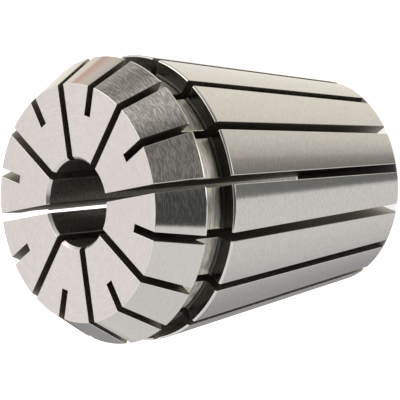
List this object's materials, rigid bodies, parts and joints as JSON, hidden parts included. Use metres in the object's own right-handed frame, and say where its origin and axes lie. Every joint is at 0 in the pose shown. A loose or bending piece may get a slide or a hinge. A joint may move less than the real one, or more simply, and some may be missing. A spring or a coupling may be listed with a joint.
{
  "type": "er collet",
  "caption": "Spring collet with a long rear taper, a nose cone, an extraction groove and slots cut from both ends, which closes on a round tool shank in its bore.",
  "frame": {"origin": "centre of the small rear face, which the collet stands on", "axes": "+Z along the bore axis, from the rear face to the nose face; +X through the middle of one of the slots cut from the nose"},
  "size_m": [0.033, 0.033, 0.04],
  "materials": {
    "ground_steel": "fine-ground bare spring steel"
  },
  "bodies": {
    "root": {"collet": "ground_steel"}
  },
  "joints": []
}
